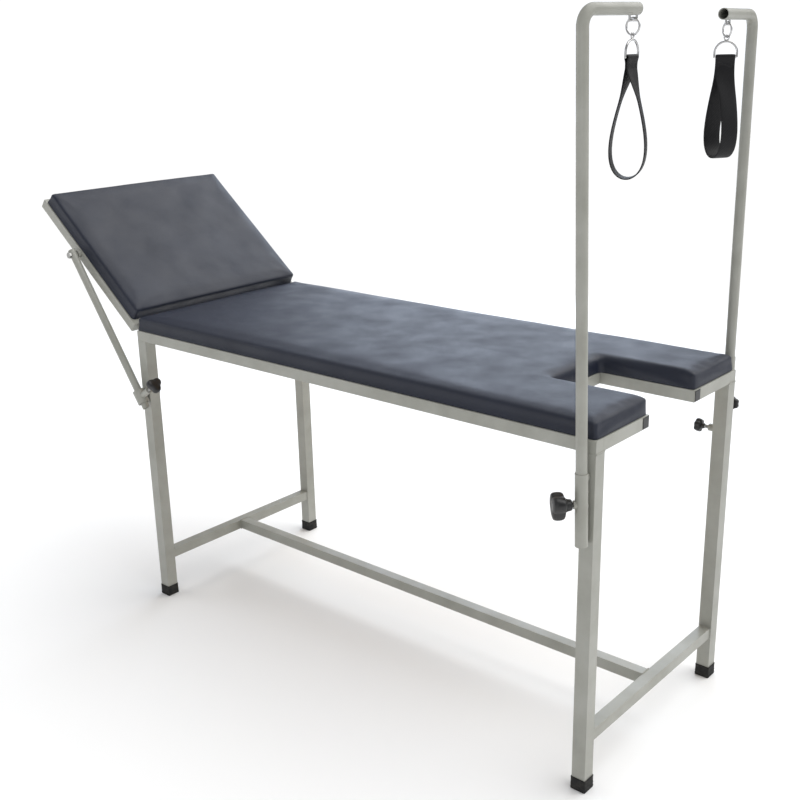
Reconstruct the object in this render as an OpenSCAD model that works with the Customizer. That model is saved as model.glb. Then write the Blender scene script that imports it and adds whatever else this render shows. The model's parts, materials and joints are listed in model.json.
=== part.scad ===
// Examination couch with a tilting backrest, a notched foot end and two sling poles.
// Millimetres, +Z up, +X towards the foot end, the near long side is at -Y.
// Origin on the floor, under the middle of the couch.

/* [Frame] */
// Distance between the head legs and the foot legs, centre to centre
leg_spacing = 1300; // [1200:10:1400]
// Overall width across the legs
couch_w = 560; // [520:10:620]
// Height of the seat frame's top face
frame_top = 733; // [700:1:780]
// Side of the square leg tube
leg_side = 30; // [29:1:34]
// Side of the square rail and stretcher tube
rail_side = 25; // [24:1:26]
// Wall of every square tube
tube_wall = 1.5; // [1:0.5:2]
// Height of the stretchers' top face
stretcher_top = 128; // [100:1:200]
// Height of the rubber foot caps
cap_h = 28; // [20:1:40]

/* [Cushions] */
// Thickness of a cushion with its board
pad_t = 37; // [34:1:40]
// Thickness of the plywood board inside a cushion
board_t = 9; // [6:1:12]
// Width of the notch in the foot end
notch_w = 184; // [150:2:220]
// Depth of the notch in the foot end
notch_depth = 215; // [160:5:260]

/* [Backrest] */
// Length of the backrest frame from its hinge
back_len = 478; // [440:1:520]
// Angle of the backrest above the seat
back_angle = 39.5; // [36:0.5:43]
// Distance along the backrest from its hinge to the stay's bolt
stay_reach = 290; // [280:1:300]
// Height of the stay clamp on the head leg
stay_clamp_z = 566; // [560:1:572]
// Outside diameter of the stay tube
stay_d = 19; // [16:1:20]

/* [Poles] */
// Outside diameter of a sling pole
pole_d = 21; // [18:1:22]
// Height of the near arm's top
near_pole_top = 1461; // [1400:1:1500]
// Height of the far arm's top
far_pole_top = 1454; // [1400:1:1500]
// Length of the near arm from its pole's centre line to its open end
near_arm_len = 135; // [125:1:160]
// Length of the far arm from its pole's centre line to its open end
far_arm_len = 160; // [140:1:170]
// Centre-line radius of the bend between pole and arm
bend_r = 27; // [22:1:45]
// Length of a pole socket
socket_len = 140; // [130:1:150]
// Height of the near socket's middle
near_socket_z = 605; // [560:1:620]
// Height of the far socket's middle
far_socket_z = 684; // [670:1:690]
// Lean of the near pole towards the head, in degrees
near_lean = 1.8; // [0:0.1:2]
// Lean of the far pole towards the head, in degrees
far_lean = 0.3; // [0:0.1:2]
// Turn of the near arm towards the foot, in degrees
near_arm_turn = 10; // [0:1:15]
// Turn of the far arm towards the foot, in degrees
far_arm_turn = 5; // [0:1:15]

/* [Slings] */
// Width of the sling strap
strap_w = 36; // [30:1:36]
// Thickness of the sling strap
strap_t = 2.5; // [2:0.5:3]
// Drop of the near sling from its D-ring to the bottom of the loop
near_sling_drop = 199; // [170:1:240]
// Drop of the far sling from its D-ring to the bottom of the loop
far_sling_drop = 186; // [170:1:240]
// Widest opening of a sling's loop, over the strap
sling_open = 62; // [50:1:76]
// Turn of the near sling's neck and of its loop about the vertical, in degrees
near_sling_turns = [0, 22];
// Turn of the far sling's neck and of its loop about the vertical, in degrees
far_sling_turns = [-58, -32];

/* [Knobs] */
// Diameter of the large three-lobed knob on the near socket
near_knob_d = 56; // [48:1:60]
// Diameter of the three-lobed knob on the stay clamp
stay_knob_d = 42; // [36:1:48]
// Diameter of the small knobs on the far side
small_knob_d = 30; // [26:1:34]

/* [Hidden] */

near = -1;
far = 1;
eps = 0.01;
play = 0.3;              // gap between loose moving pieces
running = 0.08;          // radial gap of a pin in its hole

half_w = couch_w / 2;
leg_y = half_w - leg_side / 2;
rail_y = half_w - rail_side / 2;
rail_z = frame_top - rail_side / 2;
end_plate_t = 2;
leg_in_cap = 23;
end_plug_depth = 15;

// Backrest hinge, just outside the head legs, at the middle of the rail
hinge_inset = 10;
back_reach = hinge_inset + back_len * cos(back_angle) + rail_side / 2 * sin(back_angle);
cap_wall = 2;
foot_reach = leg_side / 2 + cap_wall;
head_x = (back_reach - leg_spacing - foot_reach) / 2;
foot_x = head_x + leg_spacing;
hinge = [head_x - hinge_inset, 0, rail_z];
rail_head_x = head_x - leg_side / 2;
rail_foot_x = foot_x + leg_side / 2;

// Cushions, set back a little from the frame's outer faces
pad_inset = 2;
pad_head_overhang = 18;
pad_y = half_w - pad_inset;
pad_head_x = head_x - pad_head_overhang;
pad_foot_x = rail_foot_x - pad_inset;
notch_x = pad_foot_x - notch_depth;
board_inset = 6;
head_rail_inset = 32;

// Backrest pieces, as distances from the hinge along the backrest
back_side_inset = 0.5;
back_half_w = half_w - back_side_inset;
back_rail_y = back_half_w - rail_side / 2;
back_rail_start = 26;
back_cross_inset = 48;     // from the rails' lower ends to the bottom rail
back_pad_start = 42;
back_pad_margin = 6;
back_pad_end = back_len - back_pad_margin;

// Hinge plates, pins and nuts
plate_t = 5;
plate_r = 12;
plate_len = 68;
plate_y = back_half_w - rail_side;
hinge_pin_d = 10;
hinge_pin_len = 14;
nut_t = 6;
nut_d = 17;

// Stay from the backrest rail down to the clamp on the near head leg
stay_gap = 17;             // from the leg's outer face to the stay's centre line
stay_y = half_w + stay_gap;
sleeve_gap = 2.5;
sleeve_wall = 3;
sleeve_bore = stay_d + 2 * sleeve_gap;
sleeve_d = sleeve_bore + 2 * sleeve_wall;
sleeve_len = 36;
sleeve_boss = 28;
stay_tail = 32;            // length of stay below the clamp
stay_head = 13;            // length of stay above its bolt
stay_bolt_d = 10;
stay_top = hinge + stay_reach * [-cos(back_angle), 0, sin(back_angle)];
stay_run = [head_x - stay_top[0], stay_top[2] - stay_clamp_z];
stay_angle = atan2(stay_run[1], stay_run[0]);
stay_span = norm(stay_run);
stay_wall = 1.5;

// Clamping screws, their welded bosses and their knobs, measured along each screw
screw_d = 8;
boss_d = 16;
near_clamp_z = 11;         // above the socket's middle
far_clamp_z = -42;         // above the socket's middle
leg_clamp_z = 599;
near_knob_turn = 225;      // direction of the near pole's screw in plan
near_boss = 3;
far_boss = 4;
leg_boss = 14;
boss_space = 2;            // between a boss and its knob when clamped
near_knob_h = 38;
far_knob_h = 18;
leg_knob_h = 22;
leg_knob_space = 10;
stay_knob_h = 28;
stay_knob_space = 13;
screw_in_knob = 0.5;       // depth of a screw in its knob, as a share of the knob

// Poles and sockets
socket_wall = 1.5;
socket_d = pole_d + 2 * socket_wall;
socket_gap = 5;
near_socket_offset = 1;    // from the leg's middle towards the head
far_socket_offset = 8;
pole_y = half_w + socket_gap + socket_d / 2;
pole_wall = 1.5;
plug_flange = 2;
plug_shank = 12;
pole_seat = 3;             // from a socket's lower end up to the plug
weld_w = 9;
weld_h = 7;
near_weld_heights = [-52, 6, 62];
far_weld_heights = [-58, -25, 10];

// Eye under the arm, ring, D-ring and sling, hanging one from the other
wire_d = 4;
ring_wire = 3.6;
ring_r = 13.2;
near_ring_turn = -8;
far_ring_turn = -30;
near_eye_inset = 13;       // from the near arm's open end to its eye's middle
far_eye_inset = 24;        // from the far arm's open end to its eye's middle
eye_half = 9;
eye_drop = 8;
link_r = 4.4;              // small loop on top of the D-ring
link_wire = 2.4;
dring_r = 20.5;
dring_side = 7;
ring_top = wire_d / 2 + ring_wire / 2 + play;
ring_drop = ring_r - ring_top;
link_drop = ring_drop + ring_r - (ring_wire + link_wire) / 2 - play + link_r;
dring_height = dring_side + dring_r + wire_d / 2 + link_r;
dring_drop = link_drop + dring_height;
eye_space = wire_d / 2 + play;
strap_wrap = 100;          // degrees of each strand round the D-ring's bar, from its top
neck_start = 9;            // depth below the bar where the two strands come together
neck_end = 12;             // depth below the bar where the loop starts to open
loop_widest = (1 + sqrt(41)) / 10;   // where the loop is widest, as a share of its height
twist_start = 12;          // depths below the bar between which the strap turns from
twist_end = 75;            // its neck's angle to its loop's

frame_paint = "gainsboro";
vinyl = "midnightblue";
black = "black";
steel = "silver";

// ---- shared shapes -------------------------------------------------------

// Square tube along X, Y or Z, centred on its line, from a to b
module tube_x(a, b, y, z, side = rail_side) {
    translate([a, y, z]) rotate([0, 90, 0]) square_tube(b - a, side);
}

module tube_y(a, b, x, z, side = rail_side) {
    translate([x, a, z]) rotate([-90, 0, 0]) square_tube(b - a, side);
}

module tube_z(a, b, x, y, side = leg_side) {
    translate([x, y, a]) square_tube(b - a, side);
}

module square_tube(length, side) {
    bore = side - 2 * tube_wall;
    difference() {
        translate([-side / 2, -side / 2, 0]) cube([side, side, length]);
        translate([-bore / 2, -bore / 2, -1]) cube([bore, bore, length + 2]);
    }
}

// Box from one corner to the opposite corner
module block(low, high) {
    translate(low) cube(high - low);
}

// Children drawn along +Z start at p and point along the given direction
module aim(p, turn, rise = 0) {
    translate(p) rotate([0, 90 - rise, turn]) children();
}

// Backrest space: -X runs up the backrest from the hinge, +Z is its upholstered side
module on_backrest() {
    translate(hinge) rotate([0, back_angle, 0]) children();
}

// Round hole or pin along Y, centred at y
module rod_y(d, y0, y1, x = 0, z = 0) {
    translate([x, y0, z]) rotate([-90, 0, 0]) cylinder(d = d, h = y1 - y0);
}

// Hexagon nut along Y, with a hole for its pin
module nut_y(y0, y1, hole_d, x, z) {
    difference() {
        translate([x, y0, z]) rotate([-90, 0, 0]) cylinder(d = nut_d, h = y1 - y0, $fn = 6);
        rod_y(hole_d, y0 - 1, y1 + 1, x, z);
    }
}

// Knob head on a neck, drawn along +Z, with a blind hole for its screw
module knob(d, thick, lobes) {
    neck_h = 0.3 * thick;
    lobe_r = d / 5;
    difference() {
        union() {
            cylinder(d = 0.45 * d, h = neck_h + eps);
            translate([0, 0, neck_h]) linear_extrude(thick - neck_h) {
                circle(d = 0.66 * d);
                for (i = [0:lobes - 1])
                    rotate(180 + 360 * i / lobes) translate([d / 2 - lobe_r, 0]) circle(r = lobe_r);
            }
        }
        translate([0, 0, -1]) cylinder(d = screw_d, h = screw_in_knob * thick + 1);
    }
}

// ---- legs and seat frame ---------------------------------------------------

module leg(x, side) {
    tube_z(cap_h - leg_in_cap, frame_top - rail_side, x, side * leg_y);
}

module leg_head_near() {
    color(frame_paint) difference() {
        leg(head_x, near);
        rod_y(hinge_pin_d + 2 * running, -half_w - 1, -half_w + leg_side + 1, head_x, stay_clamp_z);
    }
}

module leg_head_far() { color(frame_paint) leg(head_x, far); }

module leg_foot_near() { color(frame_paint) leg(foot_x, near); }

module leg_foot_far() {
    color(frame_paint) difference() {
        leg(foot_x, far);
        aim([foot_x, leg_y, leg_clamp_z], 180) cylinder(d = screw_d + 2 * running, h = leg_side);
    }
}

// Rubber ferrules, the tube standing in a square pocket
module foot_caps() {
    cap_side = leg_side + 2 * cap_wall;
    color(black) for (x = [head_x, foot_x], side = [near, far])
        translate([x, side * leg_y, 0]) difference() {
            translate([-cap_side / 2, -cap_side / 2, 0]) cube([cap_side, cap_side, cap_h]);
            translate([-leg_side / 2, -leg_side / 2, cap_h - leg_in_cap]) cube([leg_side, leg_side, cap_h]);
        }
}

module side_rail(side) {
    tube_x(rail_head_x + end_plate_t, rail_foot_x - end_plate_t, side * rail_y, rail_z);
}

module side_rail_near() { color(frame_paint) side_rail(near); }

module side_rail_far() { color(frame_paint) side_rail(far); }

// Plates welded over the open ends of the side rails
module rail_end_plates() {
    color(frame_paint) for (x = [rail_head_x, rail_foot_x - end_plate_t], side = [near, far])
        translate([x, side * rail_y - rail_side / 2, rail_z - rail_side / 2])
            cube([end_plate_t, rail_side, rail_side]);
}

module head_rail() {
    color(frame_paint) tube_y(-half_w + rail_side, half_w - rail_side, head_x + head_rail_inset, rail_z);
}

module notch_crossbar() {
    color(frame_paint)
        tube_y(-half_w + rail_side, half_w - rail_side, notch_x - rail_side / 2, rail_z);
}

// Rails along the two sides of the notch
module notch_rail(side) {
    tube_x(notch_x, rail_foot_x, side * (notch_w / 2 + rail_side / 2), rail_z);
}

module notch_rail_near() { color(frame_paint) notch_rail(near); }

module notch_rail_far() { color(frame_paint) notch_rail(far); }

// Plastic plugs pushed into the open ends of the notch rails
module notch_rail_plugs() {
    plug_side = rail_side - 2 * tube_wall;
    color(black) for (side = [near, far])
        translate([rail_foot_x - end_plug_depth, side * (notch_w / 2 + rail_side / 2) - plug_side / 2,
            rail_z - plug_side / 2]) cube([end_plug_depth + 1, plug_side, plug_side]);
}

// Short foot-end rails between the notch rails and the side rails
module prong_rails() {
    inner = notch_w / 2 + rail_side;
    outer = half_w - rail_side;
    x = rail_foot_x - rail_side / 2;
    color(frame_paint) {
        tube_y(inner, outer, x, rail_z);
        tube_y(-outer, -inner, x, rail_z);
    }
}

module cross_stretcher(x) {
    inner = half_w - leg_side;
    tube_y(-inner, inner, x, stretcher_top - rail_side / 2);
}

module stretcher_head() { color(frame_paint) cross_stretcher(head_x); }

module stretcher_foot() { color(frame_paint) cross_stretcher(foot_x); }

module stretcher_centre() {
    color(frame_paint) tube_x(head_x + rail_side / 2, foot_x - rail_side / 2, 0,
        stretcher_top - rail_side / 2);
}

// ---- cushions ---------------------------------------------------------------

// Plan of the seat with its notch, drawn inset all round
module seat_plan(inset) {
    difference() {
        translate([pad_head_x + inset, -pad_y + inset])
            square([pad_foot_x - pad_head_x - 2 * inset, 2 * (pad_y - inset)]);
        translate([notch_x - inset, -notch_w / 2 - inset])
            square([notch_depth + 2 * inset, notch_w + 2 * inset]);
    }
}

module seat_board() {
    color("burlywood") translate([0, 0, frame_top]) linear_extrude(board_t) seat_plan(board_inset);
}

// Upholstery that wraps over the board's edges
module seat_pad() {
    color(vinyl) translate([0, 0, frame_top]) difference() {
        linear_extrude(pad_t) seat_plan(0);
        translate([0, 0, -1]) linear_extrude(board_t + 1) seat_plan(board_inset);
    }
}

module back_board_block(inset, bottom, top) {
    block([-back_pad_end + inset, -pad_y + inset, rail_side / 2 + bottom],
        [-back_pad_start - inset, pad_y - inset, rail_side / 2 + top]);
}

module back_board() {
    color("burlywood") on_backrest() back_board_block(board_inset, 0, board_t);
}

module back_pad() {
    color(vinyl) on_backrest() difference() {
        back_board_block(0, 0, pad_t);
        back_board_block(board_inset, -1, board_t);
    }
}

// ---- backrest frame and hinge -------------------------------------------------

module back_rail(side) {
    on_backrest()
        tube_x(-back_len + end_plate_t, -back_rail_start - end_plate_t, side * back_rail_y, 0);
}

module back_rail_near() { color(frame_paint) back_rail(near); }

module back_rail_far() { color(frame_paint) back_rail(far); }

module back_cross_rail(x) {
    inner = back_half_w - rail_side;
    on_backrest() tube_y(-inner, inner, x, 0);
}

module back_top_rail() { color(frame_paint) back_cross_rail(-back_len + rail_side / 2); }

module back_bottom_rail() {
    color(frame_paint) back_cross_rail(-back_rail_start - back_cross_inset - rail_side / 2);
}

// Plates welded over both ends of the backrest's side rails
module back_end_plates() {
    color(frame_paint) on_backrest()
        for (x = [-back_len, -back_rail_start - end_plate_t], side = [near, far])
            translate([x, side * back_rail_y - rail_side / 2, -rail_side / 2])
                cube([end_plate_t, rail_side, rail_side]);
}

// Flat plates on the rails' inner faces, each with a round eye on the hinge pin
module hinge_plates() {
    color(frame_paint) on_backrest() for (side = [near, far]) {
        y0 = side == near ? -plate_y : plate_y - plate_t;
        difference() {
            union() {
                rod_y(2 * plate_r, y0, y0 + plate_t);
                block([-plate_len, y0, -rail_side / 2 + 0.5], [0, y0 + plate_t, 0]);
            }
            rod_y(hinge_pin_d + 2 * running, y0 - 1, y0 + plate_t + 1);
        }
    }
}

// Pins welded to the inner faces of the seat's side rails
module hinge_pins() {
    inner = half_w - rail_side;
    color(steel) translate([hinge[0], 0, hinge[2]]) {
        rod_y(hinge_pin_d, inner - hinge_pin_len, inner);
        rod_y(hinge_pin_d, -inner, -inner + hinge_pin_len);
    }
}

module hinge_nuts() {
    face = plate_y - plate_t - play;
    color(steel) {
        nut_y(face - nut_t, face, hinge_pin_d, hinge[0], hinge[2]);
        nut_y(-face, -face + nut_t, hinge_pin_d, hinge[0], hinge[2]);
    }
}

// ---- backrest stay and its clamp ----------------------------------------------

// Bolt through the top of the stay, with its head on the outside
module stay_bolt() {
    head_y = -stay_y - stay_d / 2 - play;
    color(steel) {
        rod_y(stay_bolt_d, head_y, -back_half_w, stay_top[0], stay_top[2]);
        translate([stay_top[0], head_y - nut_t, stay_top[2]]) rotate([-90, 0, 0])
            cylinder(d = nut_d, h = nut_t, $fn = 6);
    }
}

// Spacer ring between the backrest rail and the stay
module stay_spacer() {
    color(frame_paint) difference() {
        rod_y(stay_d, -stay_y + stay_d / 2 + play, -back_half_w, stay_top[0], stay_top[2]);
        rod_y(stay_bolt_d, -stay_y, -back_half_w + 1, stay_top[0], stay_top[2]);
    }
}

// Stay space: +Z runs down the stay from its bolt
module on_stay() {
    translate([stay_top[0], -stay_y, stay_top[2]]) rotate([0, 90 + stay_angle, 0]) children();
}

module stay() {
    length = stay_head + stay_span + stay_tail;
    color(frame_paint) on_stay() difference() {
        translate([0, 0, -stay_head]) cylinder(d = stay_d, h = length);
        translate([0, 0, -stay_head - 1]) cylinder(d = stay_d - 2 * stay_wall, h = length + 2);
        rod_y(stay_bolt_d + 2 * running, -stay_d, stay_d);
    }
}

// Clamp space: the stay's line at the clamp, +Z down the stay
module on_clamp() {
    on_stay() translate([0, 0, stay_span]) children();
}

// Loose sleeve round the stay, with a boss for the clamping screw
module stay_sleeve() {
    color(frame_paint) on_clamp() difference() {
        union() {
            translate([0, 0, -sleeve_len / 2]) cylinder(d = sleeve_d, h = sleeve_len);
            rotate([0, -90, 0]) cylinder(d = boss_d, h = sleeve_d / 2 + sleeve_boss);
        }
        translate([0, 0, -sleeve_len]) cylinder(d = sleeve_bore, h = 2 * sleeve_len);
        rotate([0, -90, 0]) cylinder(d = screw_d + 2 * running, h = sleeve_d + sleeve_boss);
    }
}

// Pin welded to the sleeve, turning in the leg's cross hole
module stay_swivel_pin() {
    color(steel) difference() {
        rod_y(hinge_pin_d, -stay_y, -half_w + leg_side + nut_t + 2, head_x, stay_clamp_z);
        on_clamp() translate([0, 0, -sleeve_len]) cylinder(d = sleeve_d, h = 2 * sleeve_len);
    }
}

module stay_swivel_nut() {
    face = -half_w + leg_side + play;
    color(steel) nut_y(face, face + nut_t, hinge_pin_d, head_x, stay_clamp_z);
}

stay_knob_start = sleeve_d / 2 + sleeve_boss + stay_knob_space;

module stay_knob_axis() {
    on_clamp() rotate([0, -90, 0]) children();
}

module stay_screw() {
    start = sleeve_bore / 2 + play;
    color(steel) stay_knob_axis() translate([0, 0, start])
        cylinder(d = screw_d, h = stay_knob_start + screw_in_knob * stay_knob_h - start);
}

module stay_knob() {
    color(black) stay_knob_axis() translate([0, 0, stay_knob_start])
        knob(stay_knob_d, stay_knob_h, 3);
}

// ---- pole sockets and clamping knobs --------------------------------------------

function socket_z(side) = side == near ? near_socket_z : far_socket_z;
function lean(side) = side == near ? near_lean : far_lean;
function socket_x(side) = foot_x - (side == near ? near_socket_offset : far_socket_offset);

// Socket space: origin at the socket's middle, +Z up the pole
module on_socket(side) {
    translate([socket_x(side), side * pole_y, socket_z(side)]) rotate([0, -lean(side), 0]) children();
}

module socket(side) {
    on_socket(side) difference() {
        translate([0, 0, -socket_len / 2]) cylinder(d = socket_d, h = socket_len);
        translate([0, 0, -socket_len]) cylinder(d = pole_d + 2 * running, h = 2 * socket_len);
    }
}

module near_clamp_axis() {
    on_socket(near) aim([0, 0, near_clamp_z], near_knob_turn) children();
}

module far_clamp_axis() {
    on_socket(far) aim([0, 0, far_clamp_z], 90) children();
}

module leg_clamp_axis() {
    aim([foot_x, leg_y, leg_clamp_z], 180) children();
}

module socket_near() {
    color(frame_paint) difference() {
        socket(near);
        near_clamp_axis() cylinder(d = screw_d + 2 * running, h = socket_d);
    }
}

module socket_far() {
    color(frame_paint) difference() {
        socket(far);
        far_clamp_axis() cylinder(d = screw_d + 2 * running, h = socket_d);
    }
}

// Weld blocks that hold each socket off its leg
module socket_welds() {
    reach = pole_y - half_w;
    color(frame_paint) for (side = [near, far])
        difference() {
            for (z = side == near ? near_weld_heights : far_weld_heights)
                translate([socket_x(side) - weld_w / 2, side * half_w - (side == near ? reach : 0),
                    socket_z(side) + z - weld_h / 2]) cube([weld_w, reach, weld_h]);
            on_socket(side) translate([0, 0, -socket_len]) cylinder(d = socket_d, h = 2 * socket_len);
        }
}

// Welded bosses for the three clamping screws of the poles and the far leg
module clamp_bosses() {
    color(frame_paint) {
        difference() {
            near_clamp_axis() boss(socket_d / 2 + near_boss);
            on_socket(near) cylinder(d = socket_d, h = socket_len, center = true);
        }
        difference() {
            far_clamp_axis() boss(socket_d / 2 + far_boss);
            on_socket(far) cylinder(d = socket_d, h = socket_len, center = true);
        }
        leg_clamp_axis() translate([0, 0, leg_side / 2]) boss(leg_boss);
    }
}

module boss(length) {
    difference() {
        cylinder(d = boss_d, h = length);
        translate([0, 0, -1]) cylinder(d = screw_d + 2 * running, h = length + 2);
    }
}

screw_start = pole_d / 2 + play;
leg_screw_start = leg_side / 2 - 6;
near_knob_start = socket_d / 2 + near_boss + boss_space;
far_knob_start = socket_d / 2 + far_boss + boss_space;
leg_knob_start = leg_side / 2 + leg_boss + leg_knob_space;

module near_screw() {
    color(steel) near_clamp_axis() translate([0, 0, screw_start])
        cylinder(d = screw_d, h = near_knob_start + screw_in_knob * near_knob_h - screw_start);
}

module near_knob() {
    color(black) near_clamp_axis() translate([0, 0, near_knob_start]) knob(near_knob_d, near_knob_h, 3);
}

module far_screw() {
    color(steel) far_clamp_axis() translate([0, 0, screw_start])
        cylinder(d = screw_d, h = far_knob_start + screw_in_knob * far_knob_h - screw_start);
}

module far_knob() {
    color(black) far_clamp_axis() translate([0, 0, far_knob_start]) knob(small_knob_d, far_knob_h, 6);
}

module leg_screw() {
    color(steel) leg_clamp_axis() translate([0, 0, leg_screw_start])
        cylinder(d = screw_d, h = leg_knob_start + screw_in_knob * leg_knob_h - leg_screw_start);
}

module leg_knob() {
    color(black) leg_clamp_axis() translate([0, 0, leg_knob_start]) knob(small_knob_d, leg_knob_h, 6);
}

// ---- poles ------------------------------------------------------------------------

pole_start = -socket_len / 2 + pole_seat;

function pole_top(side) = side == near ? near_pole_top : far_pole_top;
function arm_up(side) = pole_top(side) - pole_d / 2 - socket_z(side);
function arm_len(side) = side == near ? near_arm_len : far_arm_len;
function arm_turn(side) = side == near ? -near_arm_turn : far_arm_turn - 180;
function eye_reach(side) = arm_len(side) - (side == near ? near_eye_inset : far_eye_inset);

// Pole space: as socket space, with the arm along +Y
module on_pole(side) {
    on_socket(side) rotate([0, 0, arm_turn(side)]) children();
}

// Point under the arm, at the middle of the eye's bar
function eye_point(side) =
    let (reach = eye_reach(side), up = arm_up(side) - pole_d / 2 - eye_drop)
    let (x = -reach * sin(arm_turn(side)), y = reach * cos(arm_turn(side)))
    [socket_x(side), side * pole_y, socket_z(side)]
        + [x * cos(lean(side)) - up * sin(lean(side)), y, x * sin(lean(side)) + up * cos(lean(side))];

// Solid of the bent pole at diameter d: upright, quarter bend and arm
module pole_form(side, d, extra) {
    start = pole_start + plug_flange;
    bend_z = arm_up(side) - bend_r;
    translate([0, 0, start - extra]) cylinder(d = d, h = bend_z - start + extra);
    translate([0, bend_r, bend_z]) rotate([90, 0, -90])
        rotate_extrude(angle = 90) translate([bend_r, 0]) circle(d = d);
    translate([0, bend_r, arm_up(side)]) rotate([-90, 0, 0])
        cylinder(d = d, h = arm_len(side) - bend_r + extra);
}

module pole(side) {
    on_pole(side) difference() {
        pole_form(side, pole_d, 0);
        pole_form(side, pole_d - 2 * pole_wall, 1);
    }
}

module pole_near() { color(frame_paint) pole(near); }

module pole_far() { color(frame_paint) pole(far); }

// Plastic plug in the pole's lower end
module plug(side) {
    on_pole(side) translate([0, 0, pole_start]) {
        cylinder(d = pole_d, h = plug_flange);
        cylinder(d = pole_d - 2 * pole_wall - 2 * running, h = plug_flange + plug_shank);
    }
}

module plug_near() { color(black) plug(near); }

module plug_far() { color(black) plug(far); }

// ---- hanging fittings and slings -----------------------------------------------------

// Wire eye welded under the arm, its bar running along the arm
module eye(side) {
    on_pole(side) translate([0, 0, arm_up(side)]) difference() {
        bar_z = -pole_d / 2 - eye_drop;
        translate([0, eye_reach(side), bar_z]) {
            rod_y(wire_d, -eye_half, eye_half);
            for (y = [-eye_half, eye_half]) translate([0, y, 0]) {
                sphere(d = wire_d);
                cylinder(d = wire_d, h = -bar_z);
            }
        }
        rod_y(pole_d, 0, 2 * arm_len(side));
    }
}

module eye_near() { color(steel) eye(near); }

module eye_far() { color(steel) eye(far); }

// Hanging space: origin straight below the eye's bar, +Y along the D-ring's straight side
module hang(side, turn, drop) {
    translate(eye_point(side) - [0, 0, drop]) rotate([0, 0, turn]) children();
}

// Ring of wire, standing across Y
module wire_ring(r, wire) {
    rotate([90, 0, 0]) rotate_extrude() translate([r, 0]) circle(d = wire);
}

module ring_near() { color(steel) hang(near, near_ring_turn, ring_drop) wire_ring(ring_r, ring_wire); }

module ring_far() { color(steel) hang(far, far_ring_turn, ring_drop) wire_ring(ring_r, ring_wire); }

// D-ring: straight side at the bottom, two short sides, a half-round top and a small loop
module dring() {
    rod_y(wire_d, -dring_r, dring_r);
    for (y = [-dring_r, dring_r]) translate([0, y, 0]) {
        sphere(d = wire_d);
        cylinder(d = wire_d, h = dring_side);
    }
    translate([0, 0, dring_side]) rotate([90, 0, 90])
        rotate_extrude(angle = 180) translate([dring_r, 0]) circle(d = wire_d);
    translate([0, 0, dring_height]) rotate([0, 0, 90]) wire_ring(link_r, link_wire);
}

module dring_near() { color(steel) hang(near, near_sling_turns[0], dring_drop) dring(); }

module dring_far() { color(steel) hang(far, far_sling_turns[0], dring_drop) dring(); }

// Half width of the teardrop loop at a share s of its height from the top: nearly straight
// strands down to a round bottom
function drop_half(s) = s * (1 + s) * sqrt(1 - s);
function loop_half(s) = (sling_open - strap_t) / 2 * drop_half(s) / drop_half(loop_widest);

// Right half of the strap's middle line, [sideways, up] from the D-ring's bar: round the bar,
// down the stitched neck and round the loop
function strap_half(around, closed, bottom, steps = 36) = concat(
    [for (a = [0:strap_wrap / 5:strap_wrap]) around * [sin(a), cos(a)]],
    [[closed, -neck_start]],
    [for (i = [1:steps - 1]) let (s = (1 - cos(180 * i / steps)) / 2)
        [max(closed, loop_half(s)), -neck_end + (bottom + neck_end) * s]],
    [[0, bottom]]
);
function strap_line(drop) =
    let (half = strap_half(eye_space + strap_t / 2, (strap_t + play) / 2, strap_t / 2 - drop))
    let (last = len(half) - 1)
    concat(half, [for (i = [last - 1:-1:1]) [-half[i][0], half[i][1]]]);

// Turn of the strap at height z, relative to its neck
function ease(x) = let (t = min(1, max(0, x))) t * t * (3 - 2 * t);
function strap_turn(turns, z) =
    (turns[1] - turns[0]) * ease((-z - twist_start) / (twist_end - twist_start));
function turned(p, a) = [p[0] * cos(a) - p[1] * sin(a), p[0] * sin(a) + p[1] * cos(a), p[2]];

// Closed band of webbing swept along the strap's line, four points at each step
module sling(drop, turns) {
    line = strap_line(drop);
    count = len(line);
    points = [for (i = [0:count - 1])
        let (p = line[i], step = line[(i + 1) % count] - line[(i + count - 1) % count])
        let (out = [-step[1], step[0]] / norm(step) * strap_t / 2)
        for (corner = [[1, 1], [1, -1], [-1, -1], [-1, 1]])
            turned([p[0] + out[0] * corner[0], corner[1] * strap_w / 2, p[1] + out[1] * corner[0]],
                strap_turn(turns, p[1]))];
    faces = [for (i = [0:count - 1], j = [0:3])
        let (a = 4 * i + j, b = 4 * i + (j + 1) % 4)
        let (c = 4 * ((i + 1) % count) + (j + 1) % 4, d = 4 * ((i + 1) % count) + j)
        for (face = [[a, b, c], [a, c, d]]) face];
    polyhedron(points, faces);
}

module sling_near() {
    color(black) hang(near, near_sling_turns[0], dring_drop) sling(near_sling_drop, near_sling_turns);
}

module sling_far() {
    color(black) hang(far, far_sling_turns[0], dring_drop) sling(far_sling_drop, far_sling_turns);
}

leg_head_near();
leg_head_far();
leg_foot_near();
leg_foot_far();
foot_caps();
side_rail_near();
side_rail_far();
rail_end_plates();
head_rail();
notch_crossbar();
notch_rail_near();
notch_rail_far();
notch_rail_plugs();
prong_rails();
stretcher_head();
stretcher_foot();
stretcher_centre();
seat_board();
seat_pad();
socket_near();
socket_far();
socket_welds();
clamp_bosses();
hinge_pins();
hinge_nuts();
back_rail_near();
back_rail_far();
back_top_rail();
back_bottom_rail();
back_end_plates();
back_board();
back_pad();
hinge_plates();
stay_bolt();
stay_spacer();
stay();
stay_sleeve();
stay_swivel_pin();
stay_swivel_nut();
stay_screw();
stay_knob();
near_screw();
near_knob();
far_screw();
far_knob();
leg_screw();
leg_knob();
plug_near();
plug_far();
pole_near();
pole_far();
eye_near();
eye_far();
ring_near();
ring_far();
dring_near();
dring_far();
sling_near();
sling_far();
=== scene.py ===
"""Looks of the examination couch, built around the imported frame.

Metres, +Z up, +X towards the foot end, the near long side at -Y.
"""

import json
import math

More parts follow.
